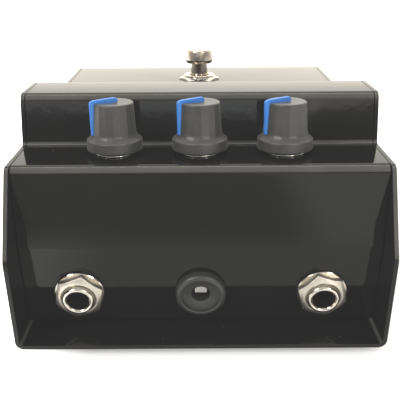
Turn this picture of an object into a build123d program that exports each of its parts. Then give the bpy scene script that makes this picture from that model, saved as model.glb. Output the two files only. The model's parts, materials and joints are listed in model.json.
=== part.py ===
"""Stepped steel guitar effects pedal: a folded tray and cover, three controls, two jacks and a footswitch.

All sizes are in millimetres. While a piece is built, Y runs from the rear nose of the side cheeks
towards the player and Z runs up from the underside of the tray. stand() then puts the origin at the
middle of the footprint, on the surface that the rubber feet rest on.
"""

import math
import os

from build123d import *

# Case
WIDTH = 106.0
DEPTH = 144.5
SHEET = 1.2
BEND_INSIDE = 1.3
BEND_OUTSIDE = BEND_INSIDE + SHEET
SEAM_GAP = 0.2
FOOT_HEIGHT = 2.5

# Side outline of the case, as distance from the nose and height over the tray's underside
TRAY_REAR = 4.0
NOSE_HEIGHT = 28.9
NOSE_ROUND = 4.0
SHELF_REAR = 10.6
SHELF_FRONT = 32.8
SHELF_TOP = 52.5
HUMP_REAR = 35.35
HUMP_FRONT = 55.2
HUMP_TOP = 67.4
PLATE_REAR = 57.6
PLATE_TOP = 57.0
PANEL_TOP_REAR = 11.7
PANEL_TOP_HEIGHT = 28.0
PANEL_UNDERCUT_DEG = 12.0
FLANGE_LENGTH = 13.0

# Case screws and feet
CASE_SCREW_X = 46.0
CASE_SCREW_INSET = 7.5
CASE_SCREW_RADIUS = 1.45
FOOT_RADIUS = 6.0
FOOT_X = 42.0
FOOT_INSET = 16.0

# Controls
CONTROL_X = {"left": -24.4, "middle": 0.0, "right": 24.4}
CONTROL_Y = 24.9
SHAFT_RADIUS = 3.0
RUNNING_CLEARANCE = 0.05
BUSHING_RADIUS = 3.5
BUSHING_RISE = 5.0
CAN_RADIUS = 8.25
CAN_HEIGHT = 7.5
CAN_WALL = 0.6
POT_PLATE = 1.5
WASHER_RADIUS = 6.0
WASHER_THICKNESS = 0.6
POT_NUT_FLATS = 10.0
POT_NUT_THICKNESS = 2.0

# Knobs
KNOB_GAP = 1.2
KNOB_RIM_RADIUS = 8.0
KNOB_RIM_HEIGHT = 3.2
KNOB_FLARE_HEIGHT = 2.1
KNOB_HEIGHT = 13.5
KNOB_FOOT_RADIUS = 6.6
KNOB_TOP_RADIUS = 5.8
KNOB_FACETS = 18
KNOB_CAVITY_RADIUS = 6.0
KNOB_CAVITY_HEIGHT = 5.0
POINTER_WIDTH = 1.4
POINTER_RISE = 0.6
POINTER_PROUD = 0.4
POINTER_TAIL = 1.05
POINTER_DEG = 204.0

# Quarter-inch jacks
JACK_X = {"left": -35.6, "right": 35.6}
JACK_HEIGHT = 12.6
JACK_BORE_RADIUS = 3.25
JACK_BUSHING_RADIUS = 4.75
JACK_BUSHING_RISE = 4.6
JACK_LIP = 0.6
JACK_NUT_FLATS = 13.0
JACK_NUT_THICKNESS = 2.2
JACK_NUT_TURN_DEG = {"left": -10.0, "right": 14.0}
JACK_WASHER_RADIUS = 7.4
JACK_WASHER_THICKNESS = 0.8
JACK_FRAME_DEPTH = 26.0

# Power socket
DC_FLANGE_RADIUS = 6.5
DC_FLANGE_THICKNESS = 1.8
DC_DISH = 1.4
DC_MOUTH_RADIUS = 3.0
DC_BARREL_RADIUS = 5.9
DC_DEPTH = 13.0
DC_PIN_RADIUS = 1.05
DC_NUT_FLATS = 15.0

# Footswitch
SWITCH_Y = 109.4
SWITCH_BUSHING_RADIUS = 5.95
SWITCH_NUT_FLATS = 14.0
SWITCH_NUT_THICKNESS = 1.5
SWITCH_WASHER_THICKNESS = 0.6
SWITCH_CROWN = 1.0
SWITCH_WASHER_RADIUS = 7.4
SWITCH_BODY = 17.5
SWITCH_BODY_HEIGHT = 14.0
SWITCH_BODY_DROP = 10.5
STEM_RADIUS = 3.9
STEM_CLEARANCE = 0.08
STEM_SHOWN = 5.2
BUTTON_RADIUS = 4.9
BUTTON_HEIGHT = 4.8
SPRING_RADIUS = 2.8
SPRING_WIRE = 0.35

# Circuit board
BOARD_X = 84.0
BOARD_Y = 44.0
BOARD_THICKNESS = 1.6
BOARD_MIDDLE_Y = 69.0
STANDOFF_HEIGHT = 10.0
STANDOFF_RADIUS = 2.5
STANDOFF_X = 38.0
STANDOFF_Y = 18.0
BOARD_TOP = SHEET + STANDOFF_HEIGHT + BOARD_THICKNESS
HEADER_TOP = BOARD_TOP + 6.0
WIRE_RADIUS = 0.6
WIRE_BEND = 2.0
WIRE_GAP = 0.3

PANEL_SLOPE = math.tan(math.radians(PANEL_UNDERCUT_DEG))
PANEL_FOOT_Y = PANEL_TOP_REAR + (PANEL_TOP_HEIGHT - SHEET) * PANEL_SLOPE
UP = (Align.CENTER, Align.CENTER, Align.MIN)


def rod(radius, low, high, x=0.0, y=0.0):
    """A vertical cylinder from height low to height high."""
    return Pos(x, y, low) * Cylinder(radius, high - low, align=UP)


def ring(outer, inner, low, high, x=0.0, y=0.0):
    """A vertical tube from height low to height high."""
    return rod(outer, low, high, x, y) - rod(inner, low - 1, high + 1, x, y)


def block(size_x, size_y, low, high, x=0.0, y=0.0):
    """An upright box from height low to height high."""
    return Pos(x, y, low) * Box(size_x, size_y, high - low, align=UP)


def hex_nut(flats, bore, low, high, turn=0.0):
    """A hexagon nut, with a corner on +Y when turn is 0."""
    blank = extrude(Pos(0, 0, low) * RegularPolygon(flats / math.sqrt(3), 6, rotation=30 + turn), high - low)
    return blank - rod(bore, low - 1, high + 1)


def on_panel(x):
    """The place on the jack panel's outer face at a socket, with local Z pointing out of the panel."""
    y = PANEL_TOP_REAR + (PANEL_TOP_HEIGHT - JACK_HEIGHT) * PANEL_SLOPE
    tilt = math.radians(PANEL_UNDERCUT_DEG)
    return Plane(origin=(x, y, JACK_HEIGHT), x_dir=(1, 0, 0), z_dir=(0, -math.cos(tilt), -math.sin(tilt)))


def side_outline():
    """The face of one side cheek, in the YZ plane."""
    corners = [
        ((TRAY_REAR, 0), 0),
        ((DEPTH, 0), 0),
        ((DEPTH, PLATE_TOP), BEND_OUTSIDE),
        ((PLATE_REAR, PLATE_TOP), BEND_INSIDE),
        ((HUMP_FRONT, HUMP_TOP), BEND_OUTSIDE),
        ((HUMP_REAR, HUMP_TOP), BEND_OUTSIDE),
        ((SHELF_FRONT, SHELF_TOP), BEND_INSIDE),
        ((SHELF_REAR, SHELF_TOP), BEND_OUTSIDE),
        ((0, NOSE_HEIGHT), NOSE_ROUND),
    ]
    points = [point for point, _ in corners]
    return make_face(FilletPolyline(*points, radius=[radius for _, radius in corners], close=True))


def screw_places():
    """The four case screws, through the tray into the cover's flanges."""
    rows = (PANEL_FOOT_Y + CASE_SCREW_INSET, DEPTH - CASE_SCREW_INSET)
    return [(x, y) for x in (-CASE_SCREW_X, CASE_SCREW_X) for y in rows]


def standoff_places():
    """The four corners where the circuit board is held."""
    rows = (BOARD_MIDDLE_Y - STANDOFF_Y, BOARD_MIDDLE_Y + STANDOFF_Y)
    return [(x, y) for x in (-STANDOFF_X, STANDOFF_X) for y in rows]


def tray_hollow(gap):
    """The space over the bottom plate and between the cheeks, less a gap at both sides."""
    hollow = block(WIDTH - 2 * SHEET - 2 * gap, 3 * DEPTH, SHEET, 2 * HUMP_TOP)
    return fillet(hollow.edges().filter_by(Axis.Y).group_by(Axis.Z)[0], BEND_INSIDE)


def make_tray():
    """The bottom plate and both side cheeks, folded from one sheet."""
    body = extrude(Plane.YZ * side_outline(), WIDTH / 2, both=True)
    body = fillet(body.edges().filter_by(Axis.Y).group_by(Axis.Z)[0], BEND_OUTSIDE)
    body -= tray_hollow(0)
    for x, y in screw_places():
        body -= rod(CASE_SCREW_RADIUS + 0.25, -1, SHEET + 1, x, y)
    return body


def left_of(start, finish):
    """The unit vector to the left of the run from start to finish."""
    run = Vector(finish) - Vector(start)
    return Vector(-run.Y, run.X).normalized()


def offset_end(start, finish, end):
    """An end of a path, moved left by the sheet's thickness."""
    point = Vector(end) + left_of(start, finish) * SHEET
    return (point.X, point.Y)


def offset_corner(before, corner, after):
    """A corner of a path, moved left by the sheet's thickness and mitred."""
    left = left_of(before, corner)
    middle = (left + left_of(corner, after)).normalized()
    point = Vector(corner) + middle * (SHEET / middle.dot(left))
    return (point.X, point.Y)


def folded_sheet(points, half_width):
    """A folded sheet whose outer surface follows points in the YZ plane, metal on the left."""
    turns = []
    inner = [offset_end(points[0], points[1], points[0])]
    for before, corner, after in zip(points, points[1:], points[2:]):
        first = Vector(corner) - Vector(before)
        second = Vector(after) - Vector(corner)
        turns.append(first.cross(second).Z > 0)
        inner.append(offset_corner(before, corner, after))
    inner.append(offset_end(points[-2], points[-1], points[-1]))
    outer_path = FilletPolyline(*points, radius=[BEND_OUTSIDE if t else BEND_INSIDE for t in turns])
    inner_path = FilletPolyline(*inner, radius=[BEND_INSIDE if t else BEND_OUTSIDE for t in turns])
    ends = [Line(outer_path @ 0, inner_path @ 0), Line(outer_path @ 1, inner_path @ 1)]
    return extrude(Plane.YZ * make_face([outer_path, inner_path] + ends), half_width, both=True)


def make_cover():
    """The folded cover between the cheeks: front, foot plate, hump, shelf, rear face and jack panel."""
    points = [
        (DEPTH - FLANGE_LENGTH, SHEET),
        (DEPTH, SHEET),
        (DEPTH, PLATE_TOP),
        (PLATE_REAR, PLATE_TOP),
        (HUMP_FRONT, HUMP_TOP),
        (HUMP_REAR, HUMP_TOP),
        (SHELF_FRONT, SHELF_TOP),
        (SHELF_REAR, SHELF_TOP),
        (PANEL_TOP_REAR, PANEL_TOP_HEIGHT),
        (PANEL_FOOT_Y, SHEET),
        (PANEL_FOOT_Y + FLANGE_LENGTH, SHEET),
    ]
    cover = folded_sheet(points, WIDTH / 2 - SHEET) & tray_hollow(SEAM_GAP)
    for x in CONTROL_X.values():
        cover -= rod(BUSHING_RADIUS + 0.1, SHELF_TOP - 5, SHELF_TOP + 5, x, CONTROL_Y)
    for x in JACK_X.values():
        cover -= on_panel(x).location * rod(JACK_BUSHING_RADIUS + 0.15, -5, 5)
    cover -= on_panel(0).location * rod(DC_BARREL_RADIUS + 0.1, -5, 5)
    cover -= rod(SWITCH_BUSHING_RADIUS + 0.15, PLATE_TOP - 5, PLATE_TOP + 5, 0, SWITCH_Y)
    for x, y in screw_places():
        cover -= rod(CASE_SCREW_RADIUS + 0.05, 0, 2 * SHEET + 1, x, y)
    return cover


def pan_screw(radius, head_radius, head_height, length, recess):
    """A pan-head screw, head down at the origin, with a cross recess in its head."""
    head = fillet(rod(head_radius, -head_height, 0).faces().sort_by(Axis.Z)[0].edges(), head_height * 0.45)
    cross = block(recess * 2.2, recess * 0.45, -head_height - 1, -head_height * 0.45)
    cross += block(recess * 0.45, recess * 2.2, -head_height - 1, -head_height * 0.45)
    return (head + rod(radius, 0, length)) - cross


def make_case_screws():
    screw = pan_screw(CASE_SCREW_RADIUS, 2.8, 1.7, 5.0, 1.3)
    return Compound([Pos(x, y, 0) * screw for x, y in screw_places()])


def make_feet():
    """Four round self-adhesive feet with a rounded lower edge."""
    foot = fillet(rod(FOOT_RADIUS, -FOOT_HEIGHT, 0).faces().sort_by(Axis.Z)[0].edges(), 0.8)
    rows = (FOOT_INSET, DEPTH - FOOT_INSET)
    return Compound([Pos(x, y, 0) * foot for x in (-FOOT_X, FOOT_X) for y in rows])


def make_board():
    board = block(BOARD_X, BOARD_Y, BOARD_TOP - BOARD_THICKNESS, BOARD_TOP, 0, BOARD_MIDDLE_Y)
    for x, y in standoff_places():
        board -= rod(1.6, 0, BOARD_TOP + 1, x, y)
    return board


def make_standoffs():
    low = SHEET
    high = SHEET + STANDOFF_HEIGHT
    return Compound([ring(STANDOFF_RADIUS, 1.25, low, high, x, y) for x, y in standoff_places()])


def make_board_screws():
    screw = Rot(180, 0, 0) * pan_screw(1.2, 2.4, 1.5, 6.0, 1.1)
    return Compound([Pos(x, y, BOARD_TOP) * screw for x, y in standoff_places()])


def make_chips():
    """Two eight-pin amplifier chips."""
    chips = []
    for x in (-14.0, 14.0):
        chip = block(9.6, 6.4, BOARD_TOP + 0.8, BOARD_TOP + 4.2, x, BOARD_MIDDLE_Y)
        for step in range(4):
            for side in (-1, 1):
                leg_x = x + (step - 1.5) * 2.54
                leg_y = BOARD_MIDDLE_Y + side * 3.4
                chip += block(0.6, 0.6, BOARD_TOP, BOARD_TOP + 2.4, leg_x, leg_y)
        chips.append(chip)
    return Compound(chips)


def make_can_capacitors():
    """Upright electrolytic capacitors."""
    places = [(x, BOARD_MIDDLE_Y - 8.5) for x in (-27, -7, 7, 27)]
    return Compound([rod(2.5, BOARD_TOP, BOARD_TOP + 11, x, y) for x, y in places])


def make_film_capacitors():
    places = [(x, BOARD_MIDDLE_Y + 9) for x in (-32, -22, -12, 12, 22, 32)]
    return Compound([block(7.2, 2.6, BOARD_TOP, BOARD_TOP + 7, x, y) for x, y in places])


def make_resistors():
    """Resistors lying on the board, each a body with a bent lead at both ends."""
    resistors = []
    for x in (-33, -27, 27, 33):
        for y in (BOARD_MIDDLE_Y - 2.5, BOARD_MIDDLE_Y + 2.5):
            body = Pos(x, y, BOARD_TOP + 1.6) * Rot(0, 90, 0) * Cylinder(1.1, 3.4)
            for side in (-1, 1):
                body += Pos(x + side * 2.0, y, BOARD_TOP + 1.6) * Rot(0, 90, 0) * Cylinder(0.3, 1.2)
                body += rod(0.3, BOARD_TOP, BOARD_TOP + 1.6, x + side * 2.3, y)
            resistors.append(body)
    return Compound(resistors)


def control_pins(x):
    """The three places where a control's wires reach the board."""
    return [(x + step * 3.0, BOARD_MIDDLE_Y - BOARD_Y / 2 + 3) for step in (-1, 0, 1)]


def switch_pins():
    """The six places where the footswitch's wires reach the board."""
    return [(x, BOARD_MIDDLE_Y + BOARD_Y / 2 - 3.5) for x in (-10, -6, -2, 2, 6, 10)]


def make_headers():
    """The wire headers: one for each control and jack, one for power and one for the footswitch."""
    low = BOARD_TOP
    headers = []
    for x in CONTROL_X.values():
        headers.append(block(9.0, 4.0, low, HEADER_TOP, x, control_pins(x)[0][1]))
    for x in (-36.0, 36.0):
        headers.append(block(7.0, 4.0, low, HEADER_TOP, x, BOARD_MIDDLE_Y - 9))
    headers.append(block(6.0, 4.0, low, HEADER_TOP, 12.0, control_pins(0)[0][1]))
    headers.append(block(24.0, 4.0, low, HEADER_TOP, 0, switch_pins()[0][1]))
    return Compound(headers)


def control_axis(x, piece):
    return Pos(x, CONTROL_Y, 0) * piece


def make_pot_bushing(x):
    """The threaded bushing and the base plate that carries it."""
    under = SHELF_TOP - SHEET
    plate = block(16.0, 16.0, under - POT_PLATE, under)
    sleeve = rod(BUSHING_RADIUS, under - POT_PLATE, SHELF_TOP + BUSHING_RISE)
    bore = rod(SHAFT_RADIUS + RUNNING_CLEARANCE, under - 5, SHELF_TOP + 10)
    return control_axis(x, plate + sleeve - bore)


def can_levels():
    top = SHELF_TOP - SHEET - POT_PLATE
    return top - CAN_HEIGHT, top


def make_pot_can(x):
    """The round can, with a window where the terminal board comes out."""
    low, high = can_levels()
    can = rod(CAN_RADIUS, low, high) - rod(CAN_RADIUS - CAN_WALL, low + CAN_WALL, high + 1)
    window = block(13.0, 10.0, low + 1.2, high + 1, 0, CAN_RADIUS)
    return control_axis(x, can - window)


def make_pot_terminals(x):
    """The track board with its tab and three lugs."""
    low, _ = can_levels()
    level = low + 2.0
    board = rod(CAN_RADIUS - CAN_WALL - 0.1, level, level + 1.2)
    board += block(12.4, 13.0, level, level + 1.2, 0, 7.0)
    for step in (-1, 0, 1):
        board += block(1.4, 0.6, level - 6, level, step * 4.0, 13.0)
    return control_axis(x, board)


def make_pot_washer(x):
    return control_axis(x, ring(WASHER_RADIUS, BUSHING_RADIUS + 0.05, SHELF_TOP, SHELF_TOP + WASHER_THICKNESS))


def make_pot_nut(x):
    low = SHELF_TOP + WASHER_THICKNESS
    return control_axis(x, hex_nut(POT_NUT_FLATS, BUSHING_RADIUS + 0.02, low, low + POT_NUT_THICKNESS))


def knob_levels():
    low = SHELF_TOP + KNOB_GAP
    return low, low + KNOB_RIM_HEIGHT, low + KNOB_RIM_HEIGHT + KNOB_FLARE_HEIGHT, low + KNOB_HEIGHT


def make_pot_shaft(x):
    """The turning shaft with the wiper's rotor inside the can."""
    low, high = can_levels()
    shaft = rod(SHAFT_RADIUS, low + 4.0, knob_levels()[3] - 2.2)
    shaft += rod(6.0, low + 4.0, high - 0.6)
    return control_axis(x, shaft)


def knob_blank():
    """The knob's outside: a rim, a flare and a slightly tapered body with flat facets."""
    low, rim, flare, top = knob_levels()
    rim_radius = KNOB_RIM_RADIUS
    profile = [(0, low), (rim_radius - 0.3, low), (rim_radius, low + 0.3), (rim_radius - 0.1, rim - 0.25)]
    profile += [(rim_radius - 0.4, rim), (KNOB_FOOT_RADIUS, flare), (0, flare)]
    skirt = revolve(Plane.XZ * make_face(Polyline(*profile, close=True)), Axis.Z)
    turn = POINTER_DEG + 180 / KNOB_FACETS
    foot = Pos(0, 0, flare) * RegularPolygon(KNOB_FOOT_RADIUS, KNOB_FACETS, rotation=turn)
    head = Pos(0, 0, top) * RegularPolygon(KNOB_TOP_RADIUS, KNOB_FACETS, rotation=turn)
    return skirt + loft([foot, head])


def make_knob(x):
    low, _, _, top = knob_levels()
    knob = knob_blank() - rod(KNOB_CAVITY_RADIUS, low - 1, low + KNOB_CAVITY_HEIGHT)
    knob -= rod(SHAFT_RADIUS, low, top - 2.2)
    return control_axis(x, knob)


def make_pointer(x):
    """The coloured rib along the knob's top and down its side."""
    _, _, flare, top = knob_levels()
    over = top + POINTER_RISE
    outline = [
        (-POINTER_TAIL, top - 1),
        (-POINTER_TAIL, over),
        (KNOB_TOP_RADIUS, over),
        (KNOB_TOP_RADIUS + POINTER_PROUD, over - POINTER_PROUD),
        (KNOB_FOOT_RADIUS + POINTER_PROUD, flare),
        (KNOB_FOOT_RADIUS - 1, flare),
        (KNOB_TOP_RADIUS - 1.5, top - 1),
    ]
    rib = extrude(Plane.XZ * make_face(Polyline(*outline, close=True)), POINTER_WIDTH / 2, both=True)
    return control_axis(x, Rot(0, 0, POINTER_DEG) * rib - knob_blank())


def make_jack_frame(x):
    """The threaded bushing, the front plate and the leg that carries the contacts, one sleeve piece."""
    inside = -SHEET
    frame = ring(JACK_BUSHING_RADIUS, JACK_BORE_RADIUS, inside, JACK_BUSHING_RISE)
    lip = JACK_BUSHING_RISE - JACK_LIP
    mouth = Cone(JACK_BORE_RADIUS, JACK_BORE_RADIUS + JACK_LIP, JACK_LIP, align=UP)
    frame -= Pos(0, 0, lip) * mouth
    frame += block(17.0, 17.0, inside - 1.5, inside) - rod(JACK_BORE_RADIUS, inside - 5, 0)
    frame += block(9.0, 1.2, inside - JACK_FRAME_DEPTH, inside, 0, -7.9)
    return on_panel(x).location * frame


def make_jack_insulator(x):
    """The insulating stack at the back of the leg."""
    back = -SHEET - JACK_FRAME_DEPTH
    return on_panel(x).location * block(8.0, 3.2, back, back + 8, 0, -5.7)


def make_jack_spring(x):
    """The tip contact, a bent strip with its solder lug behind the stack."""
    back = -SHEET - JACK_FRAME_DEPTH
    points = [(-4.1, back - 4), (-4.1, back + 12), (-3.4, back + 15), (-4.1, back + 18)]
    outline = points + [(y + 0.4, z) for y, z in reversed(points)]
    strip = extrude(Plane.YZ * make_face(Polyline(*outline, close=True)), 2.0, both=True)
    return on_panel(x).location * strip


def make_jack_washer(x):
    washer = ring(JACK_WASHER_RADIUS, JACK_BUSHING_RADIUS + 0.1, 0, JACK_WASHER_THICKNESS)
    return on_panel(x).location * washer


def make_jack_nut(x, side):
    low = JACK_WASHER_THICKNESS
    turn = JACK_NUT_TURN_DEG[side]
    nut = hex_nut(JACK_NUT_FLATS, JACK_BUSHING_RADIUS + 0.02, low, low + JACK_NUT_THICKNESS, turn)
    return on_panel(x).location * nut


def make_dc_housing():
    """The socket's moulded body: dished flange, threaded barrel and rear block."""
    front = DC_FLANGE_THICKNESS
    profile = [
        (0, -DC_DEPTH),
        (DC_BARREL_RADIUS, -DC_DEPTH),
        (DC_BARREL_RADIUS, 0),
        (DC_FLANGE_RADIUS, 0),
        (DC_FLANGE_RADIUS, front - 0.4),
        (DC_FLANGE_RADIUS - 0.4, front),
        (DC_FLANGE_RADIUS - 1.0, front),
        (DC_MOUTH_RADIUS + 0.4, front - DC_DISH),
        (0, front - DC_DISH),
    ]
    body = revolve(Plane.XZ * make_face(Polyline(*profile, close=True)), Axis.Z)
    body -= rod(DC_MOUTH_RADIUS, -DC_DEPTH + 2, front + 1)
    body -= rod(DC_PIN_RADIUS, -DC_DEPTH - 1, 0)
    body -= block(4.2, 1.2, -DC_DEPTH - 1, -2.0, 0, DC_MOUTH_RADIUS)
    return on_panel(0).location * body


def make_dc_nut():
    nut = hex_nut(DC_NUT_FLATS, DC_BARREL_RADIUS + 0.02, -SHEET - 3, -SHEET)
    return on_panel(0).location * nut


def make_dc_pin():
    """The centre pin with its tail."""
    pin = rod(DC_PIN_RADIUS, -DC_DEPTH - 3, -1.6)
    pin = fillet(pin.faces().sort_by(Axis.Z)[-1].edges(), 0.5)
    return on_panel(0).location * pin


def make_dc_spring():
    """The sleeve contact, a bowed strip along the top of the socket's bore."""
    points = [(3.0, -DC_DEPTH - 3), (3.0, -6.5), (2.2, -4.0), (2.7, -2.2)]
    outline = points + [(y + 0.35, z) for y, z in reversed(points)]
    strip = extrude(Plane.YZ * make_face(Polyline(*outline, close=True)), 1.9, both=True)
    return on_panel(0).location * strip


def switch_axis(piece):
    return Pos(0, SWITCH_Y, 0) * piece


def switch_levels():
    """Heights of the housing's bottom and top, and of the bushing's top over the plate."""
    top = PLATE_TOP - SHEET - SWITCH_BODY_DROP
    crown = PLATE_TOP + SWITCH_WASHER_THICKNESS + SWITCH_NUT_THICKNESS + SWITCH_CROWN
    return top - SWITCH_BODY_HEIGHT, top, crown


def make_switch_housing():
    low, high, _ = switch_levels()
    housing = block(SWITCH_BODY, SWITCH_BODY, low, high)
    housing -= rod(STEM_RADIUS + 0.4, low + 3, high + 1)
    return switch_axis(housing)


def make_switch_bushing():
    """The metal cap plate and the threaded bushing over the housing."""
    _, high, crown = switch_levels()
    bushing = block(SWITCH_BODY, SWITCH_BODY, high, high + 1.5)
    bushing += rod(SWITCH_BUSHING_RADIUS, high, crown)
    bushing -= rod(STEM_RADIUS + STEM_CLEARANCE, high - 1, crown + 1)
    return switch_axis(bushing)


def switch_lugs():
    """Plan places of the nine solder lugs, row by row from the board side."""
    return [(x * 5.3, y * 5.3) for y in (-1, 0, 1) for x in (-1, 0, 1)]


def make_switch_terminals():
    low, _, _ = switch_levels()
    return switch_axis(Compound([block(2.4, 0.8, low - 4, low, x, y) for x, y in switch_lugs()]))


def make_switch_back_nut():
    under = PLATE_TOP - SHEET
    nut = hex_nut(SWITCH_NUT_FLATS, SWITCH_BUSHING_RADIUS + 0.02, under - 2.5, under, 15)
    return switch_axis(nut)


def make_switch_washer():
    high = PLATE_TOP + SWITCH_WASHER_THICKNESS
    return switch_axis(ring(SWITCH_WASHER_RADIUS, SWITCH_BUSHING_RADIUS + 0.05, PLATE_TOP, high))


def make_switch_nut():
    low = PLATE_TOP + SWITCH_WASHER_THICKNESS
    high = low + SWITCH_NUT_THICKNESS
    return switch_axis(hex_nut(SWITCH_NUT_FLATS, SWITCH_BUSHING_RADIUS + 0.02, low, high, 30))


def plunger_levels():
    """Heights of the stem's foot, the button's underside and the button's top."""
    _, high, crown = switch_levels()
    under = crown + STEM_SHOWN
    return high - 3.0, under, under + BUTTON_HEIGHT


def make_plunger():
    """The stem and the domed button that the foot presses."""
    foot, under, top = plunger_levels()
    button = rod(BUTTON_RADIUS, under, top)
    button = fillet(button.faces().sort_by(Axis.Z)[-1].edges(), 2.2)
    button = fillet(button.faces().sort_by(Axis.Z)[0].edges(), 0.5)
    return switch_axis(rod(STEM_RADIUS, foot, under) + button)


def make_return_spring():
    """The coil spring under the stem."""
    low = switch_levels()[0] + 3.0
    height = plunger_levels()[0] - low
    path = Helix(pitch=(height - 2 * SPRING_WIRE) / 5, height=height - 2 * SPRING_WIRE, radius=SPRING_RADIUS)
    section = Plane(origin=path @ 0, z_dir=path % 0) * Circle(SPRING_WIRE)
    return switch_axis(Pos(0, 0, low + SPRING_WIRE) * sweep(section, path=path))


def wire(*points):
    """One insulated wire along straight runs with rounded bends."""
    path = FilletPolyline(*points, radius=WIRE_BEND)
    return sweep(Plane(origin=path @ 0, z_dir=path % 0) * Circle(WIRE_RADIUS), path=path)


def control_wires(x):
    """Three wires from a control's lugs down to its header."""
    lug_end = can_levels()[0] - 4.0
    wires = []
    for step, (pin_x, pin_y) in zip((-1, 0, 1), control_pins(x)):
        lug = (x + step * 4.0, CONTROL_Y + 13.0)
        over = (pin_x, pin_y, HEADER_TOP + 6)
        wires.append(wire((*lug, lug_end), (*lug, lug_end - 5), over, (pin_x, pin_y, HEADER_TOP)))
    return wires


def jack_wires(x, header_x):
    """The tip and sleeve wires of one jack."""
    place = on_panel(x).location
    back = -SHEET - JACK_FRAME_DEPTH - WIRE_GAP
    tip = (place * Pos(0, -3.9, back - 4)).position
    sleeve = (place * Pos(3.0, -7.9, back)).position
    pin_y = BOARD_MIDDLE_Y - 9
    rise = (sleeve.X, sleeve.Y + 3.5, HEADER_TOP + 3)
    return [
        wire(tip, (tip.X, 53, 21), (header_x, pin_y, HEADER_TOP + 6), (header_x, pin_y, HEADER_TOP)),
        wire(
            sleeve,
            (sleeve.X, sleeve.Y + 2.0, sleeve.Z + 0.5),
            rise,
            (header_x + 2.5, pin_y, HEADER_TOP + 6),
            (header_x + 2.5, pin_y, HEADER_TOP),
        ),
    ]


def power_wires():
    """The two wires of the power socket."""
    place = on_panel(0).location
    back = -DC_DEPTH - 3 - WIRE_GAP
    pin = (place * Pos(0, 0, back)).position
    spring = (place * Pos(0, 3.2, back)).position
    pin_y = control_pins(0)[0][1]
    return [
        wire(pin, (6, 41, 19), (10.5, pin_y, HEADER_TOP + 6), (10.5, pin_y, HEADER_TOP)),
        wire(spring, (8, 40, 23), (13.5, pin_y, HEADER_TOP + 8), (13.5, pin_y, HEADER_TOP)),
    ]


def switch_wires():
    """Six wires from the two lug rows nearest the board."""
    low, _, _ = switch_levels()
    pins = switch_pins()
    wires = []
    for index, (x, y) in enumerate(switch_lugs()[:6]):
        pin_x, pin_y = pins[(index % 3) * 2 + index // 3]
        level = HEADER_TOP + 5.5 - 2.5 * (index // 3)
        lug = (x, SWITCH_Y + y)
        wires.append(wire((*lug, low - 4), (*lug, level), (pin_x, pin_y, level), (pin_x, pin_y, HEADER_TOP)))
    return wires


def make_wiring():
    """The wires from the controls, the jacks, the power socket and the footswitch to the board."""
    wires = power_wires() + switch_wires()
    for x in CONTROL_X.values():
        wires += control_wires(x)
    wires += jack_wires(JACK_X["left"], -36.0)
    wires += jack_wires(JACK_X["right"], 36.0)
    return Compound(wires)


def build():
    """Every piece of the pedal by node name."""
    pieces = {
        "chassis_tray": make_tray(),
        "top_cover": make_cover(),
        "case_screws": make_case_screws(),
        "rubber_feet": make_feet(),
        "circuit_board": make_board(),
        "board_standoffs": make_standoffs(),
        "board_screws": make_board_screws(),
        "amplifier_chips": make_chips(),
        "electrolytic_capacitors": make_can_capacitors(),
        "film_capacitors": make_film_capacitors(),
        "resistors": make_resistors(),
        "wire_headers": make_headers(),
        "internal_wiring": make_wiring(),
        "dc_socket_housing": make_dc_housing(),
        "dc_socket_nut": make_dc_nut(),
        "dc_socket_pin": make_dc_pin(),
        "dc_socket_spring": make_dc_spring(),
        "footswitch_housing": make_switch_housing(),
        "footswitch_bushing": make_switch_bushing(),
        "footswitch_terminals": make_switch_terminals(),
        "footswitch_back_nut": make_switch_back_nut(),
        "footswitch_washer": make_switch_washer(),
        "footswitch_nut": make_switch_nut(),
        "footswitch_plunger": make_plunger(),
        "footswitch_spring": make_return_spring(),
    }
    for side, x in CONTROL_X.items():
        pieces[f"pot_bushing_{side}"] = make_pot_bushing(x)
        pieces[f"pot_can_{side}"] = make_pot_can(x)
        pieces[f"pot_terminals_{side}"] = make_pot_terminals(x)
        pieces[f"pot_washer_{side}"] = make_pot_washer(x)
        pieces[f"pot_nut_{side}"] = make_pot_nut(x)
        pieces[f"pot_shaft_{side}"] = make_pot_shaft(x)
        pieces[f"knob_{side}"] = make_knob(x)
        pieces[f"knob_pointer_{side}"] = make_pointer(x)
    for side, x in JACK_X.items():
        pieces[f"jack_frame_{side}"] = make_jack_frame(x)
        pieces[f"jack_insulator_{side}"] = make_jack_insulator(x)
        pieces[f"jack_spring_{side}"] = make_jack_spring(x)
        pieces[f"jack_washer_{side}"] = make_jack_washer(x)
        pieces[f"jack_nut_{side}"] = make_jack_nut(x, side)
    return pieces


def stand(piece, middle_y):
    """Moves a piece so that the footprint's middle is the origin and the feet rest at height 0."""
    return Pos(0, -middle_y, FOOT_HEIGHT) * piece


os.makedirs("parts", exist_ok=True)
PIECES = build()
MIDDLE_Y = PIECES["chassis_tray"].bounding_box().center().Y
for name, piece in PIECES.items():
    export_step(stand(piece, MIDDLE_Y), f"parts/{name}.step")
print(len(PIECES), "nodes, footprint middle at", round(MIDDLE_Y, 4))
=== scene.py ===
import json
import math

import bmesh
import bpy
from mathutils import Matrix, Vector


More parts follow.
